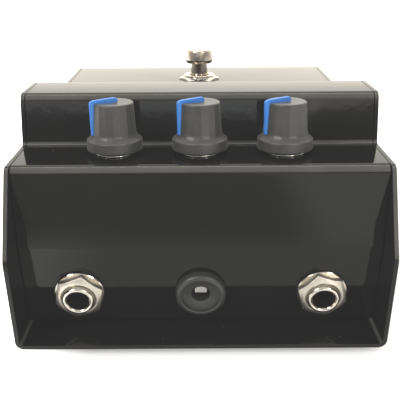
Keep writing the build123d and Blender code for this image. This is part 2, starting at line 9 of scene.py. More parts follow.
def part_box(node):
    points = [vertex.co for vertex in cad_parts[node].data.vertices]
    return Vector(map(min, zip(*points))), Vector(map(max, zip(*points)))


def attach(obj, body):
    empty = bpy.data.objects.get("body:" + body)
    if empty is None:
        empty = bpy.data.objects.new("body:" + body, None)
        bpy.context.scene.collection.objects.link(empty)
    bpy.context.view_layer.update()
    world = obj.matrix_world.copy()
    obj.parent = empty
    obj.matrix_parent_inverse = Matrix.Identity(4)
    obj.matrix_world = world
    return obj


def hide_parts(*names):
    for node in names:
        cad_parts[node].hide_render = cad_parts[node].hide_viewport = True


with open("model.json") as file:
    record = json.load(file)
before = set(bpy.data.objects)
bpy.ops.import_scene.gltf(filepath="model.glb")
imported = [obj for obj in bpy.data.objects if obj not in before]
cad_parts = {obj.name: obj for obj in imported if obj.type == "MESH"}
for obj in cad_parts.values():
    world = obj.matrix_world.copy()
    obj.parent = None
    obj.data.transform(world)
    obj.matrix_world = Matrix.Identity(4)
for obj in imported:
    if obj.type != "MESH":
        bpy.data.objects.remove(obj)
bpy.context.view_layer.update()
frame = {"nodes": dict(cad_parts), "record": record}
NODES = frame["nodes"]
SIDES = ("left", "middle", "right")
JACKS = ("left", "right")
MM = 0.001
NUT_LEAD_IN = 0.45
NUT_LEAD_DEPTH = 0.35

# ------------------------------------------------------------------ small helpers


def centre(node):
    low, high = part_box(node)
    return (low + high) / 2


def low_z(node):
    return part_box(node)[0].z


def high_z(node):
    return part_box(node)[1].z


def link(name, mesh):
    piece = bpy.data.objects.new(name, mesh)
    bpy.context.scene.collection.objects.link(piece)
    return piece


def soften(piece, width, segments=3, angle=32.0):
    """Rounds the piece's sharp edges by a small radius given in millimetres."""
    bevel = piece.modifiers.new("edges", "BEVEL")
    bevel.width = width * MM
    bevel.segments = segments
    bevel.limit_method = "ANGLE"
    bevel.angle_limit = math.radians(angle)
    bevel.harden_normals = True
    return piece


def finish_mesh(bm, name, sharp=32.0):
    """Turns a bmesh into an object with smooth shading up to the sharp angle."""
    bmesh.ops.remove_doubles(bm, verts=bm.verts, dist=1e-7)
    bmesh.ops.dissolve_degenerate(bm, edges=bm.edges, dist=1e-8)
    bmesh.ops.recalc_face_normals(bm, faces=bm.faces)
    mesh = bpy.data.meshes.new(name)
    bm.to_mesh(mesh)
    bm.free()
    mesh.shade_smooth()
    mesh.set_sharp_from_angle(angle=math.radians(sharp))
    return link(name, mesh)


def settle(piece, body, material, slot, *nodes):
    """Gives a piece its material and body, and hides the CAD nodes it stands for."""
    piece.data.materials.clear()
    piece.data.materials.append(material)
    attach(piece, body)
    if nodes:
        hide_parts(*nodes)
    return piece


def rounded(points, radii, steps=5):
    """An open profile with its inner corners filleted."""
    result = [points[0]]
    for before, corner, after, radius in zip(points, points[1:], points[2:], radii):
        a = (Vector(before) - Vector(corner)).normalized()
        b = (Vector(after) - Vector(corner)).normalized()
        half = a.angle(b) / 2
        if radius <= 0 or half > math.radians(88):
            result.append(corner)
            continue
        reach = radius / math.tan(half)
        first = Vector(corner) + a * reach
        last = Vector(corner) + b * reach
        hub = Vector(corner) + (a + b).normalized() * (radius / math.sin(half))
        for step in range(steps + 1):
            t = step / steps
            spoke = (first - hub).slerp(last - hub, t)
            result.append(tuple(hub + spoke))
    result.append(points[-1])
    return result


def skin(name, rings, place, steps, closed=False, start=0.0, sharp=32.0):
    """A skin over rings round local Z. Each ring gives (radius, height) in millimetres for an angle."""
    bm = bmesh.new()
    rows = []
    for ring in rings:
        row = []
        for step in range(steps):
            angle = start + 2 * math.pi * step / steps
            radius, height = ring(angle)
            local = Vector((radius * math.cos(angle), radius * math.sin(angle), height))
            row.append(bm.verts.new(place @ (local * MM)))
        rows.append(row)
    pairs = list(zip(rows, rows[1:]))
    if closed:
        pairs.append((rows[-1], rows[0]))
    for lower, upper in pairs:
        for step in range(steps):
            following = (step + 1) % steps
            bm.faces.new((lower[step], lower[following], upper[following], upper[step]))
    return finish_mesh(bm, name, sharp)


def flat_ring(radius, height):
    return lambda angle: (radius, height)


def lathe(name, profile, place, steps=96, closed=False, sharp=32.0):
    """A turned piece from a profile of (radius, height) pairs."""
    return skin(name, [flat_ring(r, z) for r, z in profile], place, steps, closed, 0.0, sharp)


def hex_radius(angle, flats, corner):
    """Distance to a hexagon's side, with its corners cut slightly round."""
    within = (angle - corner) % (math.pi / 3) - math.pi / 6
    return min(flats / 2 / math.cos(within), flats / math.sqrt(3) - 0.08)


def hex_nut(name, place, flats, bore, low, high, corner_deg, crown):
    """A hexagon nut with a conical crown on top that leaves curved edges on its flats."""
    corner = math.radians(corner_deg)
    slope = math.tan(math.radians(30))

    def side(angle):
        return hex_radius(angle, flats, corner)

    def fall(angle):
        return max(0.0, side(angle) - crown) * slope

    def halfway(angle):
        return crown + (side(angle) - crown) * 0.5, high - fall(angle) * 0.5

    def upper(angle):
        return side(angle), high - fall(angle)

    def lower(angle):
        return side(angle), low

    rings = [
        flat_ring(bore + NUT_LEAD_IN, low),
        flat_ring(bore, low + NUT_LEAD_DEPTH),
        flat_ring(bore, high - NUT_LEAD_DEPTH),
        flat_ring(bore + NUT_LEAD_IN, high),
        flat_ring(crown, high),
        halfway,
        upper,
        lower,
        flat_ring(crown, low),
    ]
    nut = skin(name, rings, place, 144, True, corner)
    return soften(nut, 0.1, 2)


def prism(name, outline, half_width, to_world):
    """A flat outline made solid to both sides of its plane. to_world places (across, point) in metres."""
    bm = bmesh.new()
    near, far = [
        [bm.verts.new(to_world(across, point)) for point in outline] for across in (-half_width, half_width)
    ]
    bm.faces.new(near)
    bm.faces.new(list(reversed(far)))
    for index in range(len(outline)):
        following = (index + 1) % len(outline)
        bm.faces.new((near[following], near[index], far[index], far[following]))
    return finish_mesh(bm, name, 30.0)


def threaded(name, place, outer, bore, low, high, lip, pitch, depth=0.32):
    """A threaded sleeve with a rounded lip at its top and a plain bore."""
    steps_per_turn = 8
    levels = []
    height = low
    while height < high - lip - 0.3:
        levels.append(height)
        height += pitch / steps_per_turn

    def thread(z):
        def ring(angle):
            phase = (z / pitch - angle / (2 * math.pi)) % 1.0
            ridge = abs(phase * 2 - 1)
            fade = min(1.0, (high - lip - z) / 0.4)
            return outer - depth * (1 - ridge) * fade, z

        return ring

    rings = [flat_ring(bore, low), flat_ring(outer - depth, low)]
    rings += [thread(z) for z in levels]
    middle = (bore + outer) / 2
    half = (outer - bore) / 2
    top = [(outer - 0.04, high - lip)]
    for step in range(9):
        angle = math.pi * step / 8
        top.append((middle + half * math.cos(angle), high - lip + lip * math.sin(angle)))
    rings += [flat_ring(r, z) for r, z in top]
    return skin(name, rings, place, 72, True, 0.0, 50.0)


def refined(name, node, width, segments=3):
    """A cleaned copy of a CAD node with rounded edges, for sheet and plate parts."""
    bm = bmesh.new()
    bm.from_mesh(NODES[node].data)
    bmesh.ops.remove_doubles(bm, verts=bm.verts, dist=2e-7)
    bmesh.ops.dissolve_limit(
        bm, angle_limit=math.radians(0.4), verts=bm.verts, edges=bm.edges, use_dissolve_boundaries=False
    )
    return soften(finish_mesh(bm, name), width, segments)


# ------------------------------------------------------------------ material helper


class Paint:
    """One procedural material, written as a short chain of nodes in object space."""

    def __init__(self, name):
        self.material = bpy.data.materials.new(name)
        self.material.use_nodes = True
        self.nodes = self.material.node_tree.nodes
        self.links = self.material.node_tree.links
        self.shader = self.nodes["Principled BSDF"]
        self.coords = self.nodes.new("ShaderNodeTexCoord").outputs["Object"]

    def wire(self, source, target):
        if hasattr(source, "is_output"):
            self.links.new(source, target)
        else:
            target.default_value = source

    def set(self, **values):
        """Fixed values and linked textures, by the shader's socket names with _ for a space."""
        for key, value in values.items():
            self.wire(value, self.shader.inputs[key.replace("_", " ")])

    def stretched(self, x, y, z):
        """Object coordinates scaled by axis, for brushed or layered surfaces."""
        mapping = self.nodes.new("ShaderNodeMapping")
        mapping.inputs["Scale"].default_value = (x, y, z)
        self.wire(self.coords, mapping.inputs["Vector"])
        return mapping.outputs["Vector"]

    def noise(self, scale, detail=3.0, roughness=0.55, coords=None):
        texture = self.nodes.new("ShaderNodeTexNoise")
        texture.inputs["Scale"].default_value = scale
        texture.inputs["Detail"].default_value = detail
        texture.inputs["Roughness"].default_value = roughness
        self.wire(coords or self.coords, texture.inputs["Vector"])
        return texture.outputs["Fac"]

    def cells(self, scale, output="Distance", randomness=1.0, coords=None, feature="F1"):
        texture = self.nodes.new("ShaderNodeTexVoronoi")
        texture.feature = feature
        texture.inputs["Scale"].default_value = scale
        texture.inputs["Randomness"].default_value = randomness
        self.wire(coords or self.coords, texture.inputs["Vector"])
        return texture.outputs[output]

    def ramp(self, source, stops, smooth=False):
        ramp = self.nodes.new("ShaderNodeValToRGB")
        ramp.color_ramp.interpolation = "EASE" if smooth else "LINEAR"
        elements = ramp.color_ramp.elements
        while len(elements) < len(stops):
            elements.new(0.5)
        for element, (place, colour) in zip(elements, stops):
            element.position = place
            if not isinstance(colour, tuple):
                colour = (colour, colour, colour)
            element.color = (*colour, 1.0)
        self.wire(source, ramp.inputs["Fac"])
        return ramp.outputs["Color"]

    def math(self, operation, first, second=0.0, clamp=False):
        node = self.nodes.new("ShaderNodeMath")
        node.operation = operation
        node.use_clamp = clamp
        self.wire(first, node.inputs[0])
        self.wire(second, node.inputs[1])
        return node.outputs[0]

    def mix(self, share, first, second):
        node = self.nodes.new("ShaderNodeMix")
        node.data_type = "RGBA"
        for value, socket in ((share, node.inputs[0]), (first, node.inputs[6]), (second, node.inputs[7])):
            if isinstance(value, tuple):
                value = (*value, 1.0)
            self.wire(value, socket)
        return node.outputs[2]

    def between(self, share, low, high):
        """A number that runs from low to high with a texture's share."""
        node = self.nodes.new("ShaderNodeMapRange")
        self.wire(share, node.inputs["Value"])
        node.inputs["To Min"].default_value = low
        node.inputs["To Max"].default_value = high
        return node.outputs["Result"]

    def axis(self, index):
        """One object coordinate, in metres."""
        split = self.nodes.new("ShaderNodeSeparateXYZ")
        self.wire(self.coords, split.inputs[0])
        return split.outputs[index]

    def upness(self):
        """How far the surface faces up, from -1 to 1."""
        split = self.nodes.new("ShaderNodeSeparateXYZ")
        geometry = self.nodes.new("ShaderNodeNewGeometry")
        self.links.new(geometry.outputs["Normal"], split.inputs[0])
        return split.outputs[2]

    def bump(self, height, depth_mm, strength=1.0):
        node = self.nodes.new("ShaderNodeBump")
        node.inputs["Strength"].default_value = strength
        node.inputs["Distance"].default_value = depth_mm * MM
        self.wire(height, node.inputs["Height"])
        self.links.new(node.outputs["Normal"], self.shader.inputs["Normal"])


def gloss_black():
    """Stoved gloss black: slight orange peel, a few specks of dust, and a paler tone on the bends.

    The paler tone stands in for highlights on the bends, and the low IOR keeps reflections weaker
    than real paint gives."""
    paint = Paint("gloss_black")
    specks = paint.ramp(paint.cells(420.0), [(0.0, 1.0), (0.05, 1.0), (0.09, 0.0)])
    few = paint.ramp(paint.noise(130.0, 2.0), [(0.6, 0.0), (0.66, 1.0)])
    facing = paint.math("MULTIPLY", paint.upness(), 0.75, clamp=True)
    dust = paint.math("MULTIPLY", paint.math("MULTIPLY", specks, few), facing, clamp=True)
    tone = paint.mix(paint.noise(60.0, 4.0), (0.0032, 0.0033, 0.0036), (0.005, 0.0049, 0.0047))
    # Painted highlight: surfaces that face partly up, the bends, get a paler tone in place of their
    # highlights, varied by noise.
    bends = paint.ramp(paint.upness(), [(0.2, 0.0), (0.42, 1.0), (0.84, 1.0), (0.96, 0.0)])
    bend_highlight = paint.math("MULTIPLY", bends, paint.between(paint.noise(70.0, 4.0), 0.55, 1.0))
    tone = paint.mix(bend_highlight, tone, (0.075, 0.071, 0.064))
    rubbed = paint.between(paint.noise(35.0, 5.0, 0.65), 0.035, 0.10)
    paint.set(Base_Color=paint.mix(dust, tone, (0.3, 0.28, 0.25)), IOR=1.26)
    paint.set(Roughness=paint.math("ADD", rubbed, paint.math("MULTIPLY", dust, 0.5), clamp=True))
    paint.bump(paint.noise(330.0, 2.0, 0.5), 0.012)
    return paint.material


def bright_nickel(name="bright_nickel", tone=(0.66, 0.61, 0.54), low=0.10, high=0.24):
    """Plated metal with a very fine grain and small stains."""
    paint = Paint(name)
    stain = paint.noise(450.0, 4.0, 0.6)
    dull = tuple(value * 0.8 for value in tone)
    paint.set(Base_Color=paint.mix(paint.ramp(stain, [(0.35, 0.0), (0.75, 1.0)]), tone, dull), Metallic=1.0)
    grain = paint.noise(2600.0, 2.0, 0.5)
    paint.set(Roughness=paint.between(paint.noise(900.0, 3.0), low, high))
    paint.bump(grain, 0.004, 0.6)
    return paint.material


def knob_plastic():
    """Soft-touch dark grey, matt with a fine grain, pale rubbed patches and specks of dust."""
    paint = Paint("knob_grey")
    grain = paint.noise(3200.0, 2.0)
    rubbed = paint.ramp(paint.noise(260.0, 4.0, 0.6), [(0.45, 0.0), (0.8, 1.0)])
    specks = paint.ramp(paint.cells(900.0), [(0.0, 1.0), (0.04, 1.0), (0.07, 0.0)])
    few = paint.ramp(paint.noise(300.0, 1.0), [(0.62, 0.0), (0.68, 1.0)])
    dust = paint.math("MULTIPLY", specks, few)
    tone = paint.mix(rubbed, (0.026, 0.026, 0.026), (0.042, 0.041, 0.04))
    paint.set(Base_Color=paint.mix(dust, tone, (0.42, 0.4, 0.36)), IOR=1.5)
    paint.set(Sheen_Weight=0.12, Sheen_Roughness=0.45, Sheen_Tint=(0.9, 0.88, 0.84, 1.0))
    paint.set(Roughness=paint.between(grain, 0.34, 0.5))
    paint.bump(grain, 0.02, 0.5)
    return paint.material


def pointer_plastic():
    """Blue moulded plastic with a fine grain and slight changes of tone."""
    paint = Paint("pointer_blue")
    grain = paint.noise(2600.0, 2.0)
    tone = paint.mix(paint.noise(500.0, 3.0), (0.02, 0.15, 0.5), (0.032, 0.185, 0.56))
    paint.set(Base_Color=tone, IOR=1.5, Roughness=paint.between(grain, 0.38, 0.55))
    paint.bump(grain, 0.015, 0.5)
    return paint.material


def moulded(name, dark, light, low, high):
    """Moulded plastic with a fine spark-eroded grain."""
    paint = Paint(name)
    texture = paint.noise(1500.0, 3.0)
    paint.set(Base_Color=paint.mix(paint.noise(200.0, 4.0), dark, light), IOR=1.49)
    paint.set(Roughness=paint.between(texture, low, high))
    paint.bump(texture, 0.02, 0.6)
    return paint.material


def rubber():
    """Black rubber with a coarse grain and grey dust."""
    paint = Paint("foot_rubber")
    grain = paint.noise(1300.0, 4.0)
    dust = paint.ramp(paint.noise(240.0, 5.0, 0.7), [(0.5, 0.0), (0.85, 1.0)])
    paint.set(Base_Color=paint.mix(dust, (0.014, 0.014, 0.014), (0.07, 0.066, 0.06)))
    paint.set(Roughness=paint.between(grain, 0.65, 0.9), IOR=1.5)
    paint.bump(grain, 0.05, 0.7)
    return paint.material


def rolled_steel(name, tone, low, high, grain=(40.0, 900.0, 900.0)):
    """Bare or plated sheet with rolling lines along one axis."""
    paint = Paint(name)
    lines = paint.noise(1.0, 4.0, 0.6, coords=paint.stretched(*grain))
    dull = tuple(value * 0.72 for value in tone)
    paint.set(Base_Color=paint.mix(lines, dull, tone), Metallic=1.0)
    paint.set(Roughness=paint.between(lines, low, high))
    paint.bump(lines, 0.006, 0.6)
    return paint.material


def board_laminate():
    """Green solder mask with a traced pattern and rows of tinned pads, and bare laminate at the edges."""
    paint = Paint("board_laminate")
    cells = paint.cells(210.0, randomness=0.75, feature="DISTANCE_TO_EDGE")
    gaps = paint.ramp(cells, [(0.035, 1.0), (0.05, 0.0)])
    pads = paint.ramp(paint.cells(393.7, randomness=0.0), [(0.16, 1.0), (0.2, 0.0)])
    mask = paint.mix(paint.noise(90.0, 3.0), (0.012, 0.10, 0.035), (0.018, 0.14, 0.05))
    copper = paint.mix(gaps, mask, (0.006, 0.05, 0.02))
    face = paint.ramp(paint.math("ABSOLUTE", paint.upness()), [(0.5, 0.0), (0.7, 1.0)])
    top = paint.mix(pads, copper, (0.55, 0.53, 0.48))
    layers = paint.noise(1.0, 3.0, coords=paint.stretched(90.0, 90.0, 5000.0))
    weave = paint.mix(layers, (0.22, 0.2, 0.09), (0.4, 0.36, 0.18))
    paint.set(Base_Color=paint.mix(face, weave, top), IOR=1.5)
    paint.set(Metallic=paint.math("MULTIPLY", pads, 0.8), Roughness=paint.between(cells, 0.25, 0.4))
    paint.bump(gaps, 0.03, 0.5)
    return paint.material


def wire_insulation():
    """PVC insulation, a different colour for each part of the loom."""
    paint = Paint("wire_insulation")
    bands = paint.cells(75.0, "Color", coords=paint.stretched(1.0, 0.12, 0.12))
    split = paint.nodes.new("ShaderNodeSeparateColor")
    paint.wire(bands, split.inputs[0])
    colours = [
        (0.0, (0.5, 0.02, 0.015)),
        (0.3, (0.55, 0.4, 0.03)),
        (0.5, (0.03, 0.1, 0.4)),
        (0.7, (0.02, 0.02, 0.02)),
        (0.9, (0.55, 0.53, 0.5)),
    ]
    tone = paint.ramp(split.outputs[0], colours)
    grain = paint.noise(1800.0, 2.0)
    paint.set(Base_Color=paint.mix(paint.math("MULTIPLY", grain, 0.12), tone, (0.5, 0.5, 0.5)), IOR=1.52)
    paint.set(Roughness=paint.between(grain, 0.3, 0.45))
    paint.bump(grain, 0.01, 0.4)
    return paint.material


def component_coat():
    """The mustard coating of dipped components, slightly uneven in tone and gloss."""
    paint = Paint("component_coat")
    wobble = paint.noise(900.0, 3.0)
    tone = paint.mix(paint.noise(160.0, 4.0), (0.42, 0.2, 0.03), (0.55, 0.3, 0.05))
    paint.set(Base_Color=tone, IOR=1.5, Roughness=paint.between(wobble, 0.22, 0.4))
    paint.bump(wobble, 0.03, 0.5)
    return paint.material


def phenolic():
    """Brown paper laminate with faint fibres."""
    paint = Paint("phenolic_board")
    fibre = paint.noise(1.0, 5.0, 0.7, coords=paint.stretched(700.0, 120.0, 3000.0))
    paint.set(Base_Color=paint.mix(fibre, (0.14, 0.055, 0.018), (0.27, 0.12, 0.045)), IOR=1.55)
    paint.set(Roughness=paint.between(fibre, 0.4, 0.6))
    paint.bump(fibre, 0.01, 0.5)
    return paint.material


MATERIALS = {
    "black_gloss_paint": gloss_black(),
    "screw_steel": rolled_steel("screw_steel", (0.62, 0.6, 0.56), 0.22, 0.4, (500.0, 500.0, 500.0)),
    "foot_rubber": rubber(),
    "board_laminate": board_laminate(),
    "white_nylon": moulded("white_nylon", (0.66, 0.64, 0.58), (0.76, 0.74, 0.68), 0.3, 0.5),
    "component_black": moulded("component_black", (0.012, 0.012, 0.013), (0.022, 0.022, 0.022), 0.4, 0.6),
    "component_coat": component_coat(),
    "wire_insulation": wire_insulation(),
    "socket_plastic": moulded("socket_plastic", (0.02, 0.02, 0.02), (0.03, 0.03, 0.029), 0.32, 0.46),
    "contact_nickel": bright_nickel("contact_nickel", (0.72, 0.7, 0.66), 0.16, 0.3),
    "switch_plastic": moulded("switch_plastic", (0.01, 0.025, 0.09), (0.015, 0.035, 0.12), 0.3, 0.5),
    "bright_nickel": bright_nickel(),
    "contact_brass": bright_nickel("contact_brass", (0.72, 0.5, 0.22), 0.2, 0.35),
    "spring_steel": bright_nickel("spring_steel", (0.5, 0.49, 0.47), 0.2, 0.35),
    "can_steel": rolled_steel("can_steel", (0.6, 0.59, 0.57), 0.25, 0.42),
    "phenolic_board": phenolic(),
    "shaft_aluminium": rolled_steel("shaft_aluminium", (0.7, 0.7, 0.69), 0.25, 0.4, (900.0, 900.0, 60.0)),
    "knob_grey": knob_plastic(),
    "pointer_blue": pointer_plastic(),
}

# Three finishes of the same plating, for pieces in a nickel slot.
POLISHED = bright_nickel("polished_nickel", (0.93, 0.91, 0.86), 0.04, 0.1)
WORN = bright_nickel("worn_nickel", (0.56, 0.5, 0.42), 0.16, 0.3)
SATIN = bright_nickel("satin_nickel", (0.66, 0.61, 0.53), 0.34, 0.5)

SLOT_OF = {}
for part in frame["record"]["subparts"]:
    SLOT_OF[part["node"]] = part["material_slot"]
for node_name, node in NODES.items():
    node.data.materials.clear()
    node.data.materials.append(MATERIALS[SLOT_OF[node_name]])


def dress(piece, body, node, *more):
    """A piece that stands for CAD nodes, in the first one's material slot."""
    slot_name = SLOT_OF[node]
    return settle(piece, body, MATERIALS[slot_name], slot_name, node, *more)


# ------------------------------------------------------------------ case

dress(refined("case_tray", "chassis_tray", 0.3), "case", "chassis_tray")
dress(refined("case_cover", "top_cover", 0.3), "case", "top_cover")
dress(refined("cover_screws", "case_screws", 0.12, 2), "case", "case_screws")
dress(refined("foot_pads", "rubber_feet", 0.5), "case", "rubber_feet")

# ------------------------------------------------------------------ controls

KNOB_RIM = 8.0
KNOB_RIM_HEIGHT = 3.2
KNOB_SHOULDER = KNOB_RIM - 0.6
KNOB_FLARE_TOP = 5.3
KNOB_FLARE_POWER = 2.1
KNOB_HEIGHT = 13.5
KNOB_FOOT = 6.3
KNOB_CROWN = 5.8
KNOB_EDGE = 0.45
KNOB_FACETS = 18
KNOB_BORE = 3.0
KNOB_BORE_TOP = 11.3
KNOB_HOLLOW = 6.0
KNOB_HOLLOW_TOP = 5.0
POINTER_ANGLE = math.radians(204.0)
POINTER_HALF_WIDTH = 0.62
POINTER_RISE = 0.42
POINTER_TAIL = -0.5
POINTER_FOOT = KNOB_FLARE_TOP - 0.8
POT_WASHER_RADIUS = 6.0
POT_WASHER_THICKNESS = 0.6
POT_NUT_TOP = 2.6


def facet_radius(angle, outer):
    """Distance to a facet of the knob's body, a facet lying under the pointer."""
    pitch = 2 * math.pi / KNOB_FACETS
    within = (angle - POINTER_ANGLE + pitch / 2) % pitch - pitch / 2
    return min(outer * math.cos(pitch / 2) / math.cos(within), outer - 0.008)


def faceted(outer, height, share=1.0):
    """A ring that runs from round to flat-sided as the share goes from 0 to 1."""
    return lambda angle: (outer + (facet_radius(angle, outer) - outer) * share, height)


def make_knob(side):
    """A pressed-on knob: plain rim, hollow flare and a tapered body with flats."""
    node = f"knob_{side}"
    spot = centre(f"pot_nut_{side}")
    place = Matrix.Translation((spot.x, spot.y, low_z(node)))
    shaft_hole = [(0, KNOB_BORE_TOP), (KNOB_BORE - 0.1, KNOB_BORE_TOP), (KNOB_BORE, KNOB_BORE_TOP - 0.1)]
    hollow = [(KNOB_BORE, KNOB_HOLLOW_TOP), (KNOB_HOLLOW, KNOB_HOLLOW_TOP), (KNOB_HOLLOW, 0.3)]
    rim = [
        (KNOB_HOLLOW + 0.25, 0.0),
        (KNOB_RIM - 0.35, 0.0),
        (KNOB_RIM - 0.1, 0.1),
        (KNOB_RIM, 0.35),
        (KNOB_RIM - 0.08, 2.8),
        (KNOB_RIM - 0.16, 3.02),
        (KNOB_RIM - 0.36, 3.16),
        (KNOB_SHOULDER, KNOB_RIM_HEIGHT),
    ]
    rings = [flat_ring(r, z) for r, z in shaft_hole + hollow + rim]
    flare = KNOB_FLARE_TOP - KNOB_RIM_HEIGHT
    for step in range(1, 9):
        t = step / 8
        radius = KNOB_FOOT + (KNOB_SHOULDER - KNOB_FOOT) * (1 - t) ** KNOB_FLARE_POWER
        rings.append(faceted(radius, KNOB_RIM_HEIGHT + flare * t, t))
    body_top = KNOB_HEIGHT - KNOB_EDGE
    for step in range(1, 7):
        t = step / 6
        radius = KNOB_FOOT + (KNOB_CROWN - KNOB_FOOT) * t
        rings.append(faceted(radius, KNOB_FLARE_TOP + (body_top - KNOB_FLARE_TOP) * t))
    for angle in (18, 36, 54, 72, 90):
        turn = math.radians(angle)
        radius = KNOB_CROWN - KNOB_EDGE + KNOB_EDGE * math.cos(turn)
        rings.append(faceted(radius, body_top + KNOB_EDGE * math.sin(turn), 1.0 - 0.3 * angle / 90))
    dish = [(4.6, KNOB_HEIGHT - 0.02), (2.5, KNOB_HEIGHT - 0.08), (0, KNOB_HEIGHT - 0.1)]
    rings += [flat_ring(r, z) for r, z in dish]
    knob = skin(f"knob_body_{side}", rings, place, KNOB_FACETS * 8, False, POINTER_ANGLE, 13.0)
    dress(knob, f"control_{side}", node)


def make_pointer(side):
    """The coloured rib over the knob's top and down one flat."""
    spot = centre(f"pot_nut_{side}")
    knob_base = Vector((spot.x, spot.y, low_z(f"knob_{side}")))
    place = Matrix.Translation(knob_base) @ Matrix.Rotation(POINTER_ANGLE, 4, "Z")
    over = KNOB_HEIGHT + POINTER_RISE
    sunk = KNOB_HEIGHT - 0.5
    outline = rounded(
        [
            (POINTER_TAIL, sunk),
            (POINTER_TAIL, over),
            (KNOB_CROWN, over),
            (KNOB_CROWN + 0.4, over - 0.4),
            (KNOB_FOOT + 0.45, POINTER_FOOT),
            (KNOB_FOOT - 0.6, POINTER_FOOT),
        ],
        [0.15, 0.5, 0.3, 0.0],
        4,
    )
    outline.append((KNOB_CROWN - 1.0, sunk))

    def to_world(across, point):
        radius, height = point
        return place @ (Vector((radius, across, height)) * MM)

    pointer = prism(f"pointer_rib_{side}", outline, POINTER_HALF_WIDTH, to_world)
    dress(soften(pointer, 0.2, 3, 40.0), f"control_{side}", f"knob_pointer_{side}")


def make_pot_ring(side):
    """The bright washer with a half-round edge, and the nut, that hold a pot under its knob."""
    spot = centre(f"pot_nut_{side}")
    place = Matrix.Translation((spot.x, spot.y, low_z(f"pot_washer_{side}")))
    half = POT_WASHER_THICKNESS / 2
    hub = POT_WASHER_RADIUS - half
    turns = [math.radians(angle) for angle in range(-80, 81, 16)]
    edge = [(hub + half * math.cos(turn), half + half * math.sin(turn)) for turn in turns]
    profile = [(3.6, 0), *edge, (3.7, POT_WASHER_THICKNESS), (3.6, POT_WASHER_THICKNESS - 0.1)]
    washer = lathe(f"control_washer_{side}", profile, place, 96, True)
    settle(washer, "case", POLISHED, "bright_nickel", f"pot_washer_{side}")
    nut = hex_nut(f"control_nut_{side}", place, 10.0, 3.52, POT_WASHER_THICKNESS, POT_NUT_TOP, 90.0, 4.7)
    dress(nut, "case", f"pot_nut_{side}")


for side in SIDES:
    make_knob(side)
    make_pointer(side)
    make_pot_ring(side)

# ------------------------------------------------------------------ jacks

TILT = math.radians(12.0)
OUTWARD = Vector((0, -math.cos(TILT), -math.sin(TILT)))
UPWARD = Vector((0, -math.sin(TILT), math.cos(TILT)))
JACK_WASHER_THICKNESS = 0.8
JACK_WASHER_RADIUS = 7.4
JACK_NUT_FLATS = 13.0
JACK_NUT_TOP = 3.3
JACK_NUT_CORNERS = {"left": 80.0, "right": 104.0}
PLATE_THICKNESS = 1.5
JACK_PLATE_LEVEL = -1.95


def on_panel(node, thickness):
    """The frame on the jack panel under a flat ring of that thickness, local Z out of the panel."""
    origin = centre(node) - OUTWARD * (thickness / 2 * MM)
    place = Matrix((Vector((1, 0, 0)), UPWARD, OUTWARD)).transposed().to_4x4()
    place.translation = origin
    return place


def box_part(bm, place, size, middle):
    """A plain block inside a larger piece, later rounded with it."""
    made = bmesh.ops.create_cube(bm, size=1.0)
    fit = place @ Matrix.Translation(Vector(middle) * MM) @ Matrix.Diagonal(Vector((*size, 1000.0)) * MM)
    bmesh.ops.transform(bm, matrix=fit, verts=made["verts"])


def square_frame(bm, place, width, bar, side_length, level):
    """Four blocks around a square hole."""
    offset = (width - bar) / 2
    for way in (-1, 1):
        box_part(bm, place, (width, bar, PLATE_THICKNESS), (0, way * offset, level))
    for way in (-1, 1):
        box_part(bm, place, (bar, side_length, PLATE_THICKNESS), (way * offset, 0, level))


def washer_profile(bore, outer, thickness, edge):
    """The section of a flat washer with its edges broken."""
    return [
        (bore, 0),
        (outer - edge, 0),
        (outer, edge),
        (outer, thickness - edge),
        (outer - edge, thickness),
        (bore + 0.1, thickness),
        (bore, thickness - 0.1),
    ]


def make_jack(side):
    """A jack's threaded sleeve, washer and nut outside the panel, and its plate with one leg inside."""
    place = on_panel(f"jack_washer_{side}", JACK_WASHER_THICKNESS)
    sleeve = threaded(f"jack_bushing_{side}", place, 4.75, 3.25, -2.7, 4.6, 0.75, 0.8, 0.28)
    dress(soften(sleeve, 0.02, 1, 60.0), "case", f"jack_frame_{side}")
    section = washer_profile(4.9, JACK_WASHER_RADIUS, JACK_WASHER_THICKNESS, 0.2)
    washer = lathe(f"panel_washer_{side}", section, place, 128, True)
    dress(washer, "case", f"jack_washer_{side}")
    corner = JACK_NUT_CORNERS[side]
    name = f"panel_nut_{side}"
    nut = hex_nut(name, place, JACK_NUT_FLATS, 4.77, JACK_WASHER_THICKNESS, JACK_NUT_TOP, corner, 5.7)
    settle(nut, "case", SATIN, "bright_nickel", f"jack_nut_{side}")
    bm = bmesh.new()
    box_part(bm, place, (9.0, 1.2, 26.0), (0, -7.9, -14.2))
    square_frame(bm, place, 17.0, 3.2, 11.0, JACK_PLATE_LEVEL)
    plate = finish_mesh(bm, f"jack_plate_{side}")
    dress(soften(plate, 0.2, 2), "case", f"jack_frame_{side}")


for side in JACKS:
    make_jack(side)

# ------------------------------------------------------------------ power socket

SOCKET_MOUTH = 3.0
SOCKET_BODY = 5.9
SOCKET_FLANGE = 6.5
SOCKET_FACE = 1.8
SOCKET_BACK = -13.0
SOCKET_DEPTH = -11.0
PIN_RADIUS = 1.05
PIN_TIP = -1.6
CONTACT_BACK = -16.0
LEAF_HALF_WIDTH = 1.75


def make_socket_leaf(panel):
    """The sprung blade along the socket's wall, bent in across the mouth."""
    knees = [(3.0, CONTACT_BACK), (3.0, -6.5), (2.6, -2.3), (-0.4, -0.05), (-0.65, -0.2)]
    outline = knees + [(y + 0.28, z + 0.12) for y, z in reversed(knees)]

    def to_world(across, point):
        height, depth = point
        return panel @ (Vector((across, height, depth)) * MM)

    blade = soften(prism("socket_leaf", outline, LEAF_HALF_WIDTH, to_world), 0.05, 2)
    settle(blade, "case", POLISHED, "contact_nickel", "dc_socket_spring")


